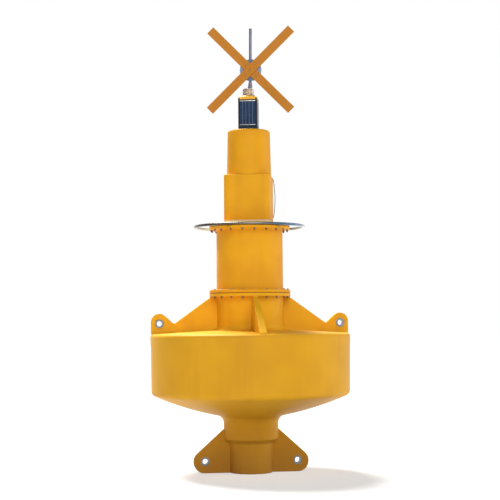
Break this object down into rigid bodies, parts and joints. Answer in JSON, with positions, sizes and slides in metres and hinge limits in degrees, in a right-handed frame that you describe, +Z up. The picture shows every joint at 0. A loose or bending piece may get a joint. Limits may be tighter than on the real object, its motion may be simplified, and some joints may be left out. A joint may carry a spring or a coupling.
{
  "type": "navigation buoy",
  "caption": "Moulded navigation buoy with a dished float, ballasted foot with mooring wings, bolted tower, guard hoop, solar lantern and X topmark.",
  "frame": {"origin": "centre of the flat foot, on the ground", "axes": "+Z up the tower, X through the two lifting lugs and mooring eyes, -Y the front"},
  "size_m": [1.7934, 1.7932, 4.0551],
  "materials": {
    "pe_yellow": "moulded, satin, lightly weathered",
    "ballast_iron": "rough, closed in",
    "eye_steel": "dull galvanised",
    "hoop_steel": "polished tube",
    "pale_pad": "matt, cream",
    "lantern_black": "fine moulded",
    "lantern_yellow": "satin moulded",
    "lens_clear": "clear, slightly tinted",
    "mast_grey": "satin, dull",
    "disc_blue": "blue-grey paint",
    "topmark_orange": "satin paint",
    "solar_blue": "laminated cells under a clear face"
  },
  "bodies": {
    "root": {"float_hull": "pe_yellow", "keel_body": "pe_yellow", "ballast_block": "ballast_iron", "mooring_bush_right": "eye_steel", "mooring_bush_left": "eye_steel", "pedestal": "pe_yellow", "lifting_fin_right": "pe_yellow", "lifting_fin_left": "pe_yellow", "gusset_fin_front": "pe_yellow", "gusset_fin_back": "pe_yellow", "lifting_bush_right": "eye_steel", "lifting_bush_left": "eye_steel", "tower_lower": "pe_yellow", "guard_hoop": "hoop_steel", "tower_cover": "pe_yellow", "base_pad": "pale_pad", "tower_upper": "pe_yellow", "side_rod": "hoop_steel", "lantern_body": "lantern_black", "lantern_cap": "lantern_yellow", "lantern_lens": "lens_clear", "mast_socket": "mast_grey", "mast_rod": "mast_grey", "topmark_disc": "disc_blue", "topmark_bar_back": "topmark_orange", "topmark_bar_front": "topmark_orange", "solar_panel_front": "solar_blue", "solar_panel_right": "solar_blue", "solar_panel_back": "solar_blue", "solar_panel_left": "solar_blue"}
  },
  "joints": []
}
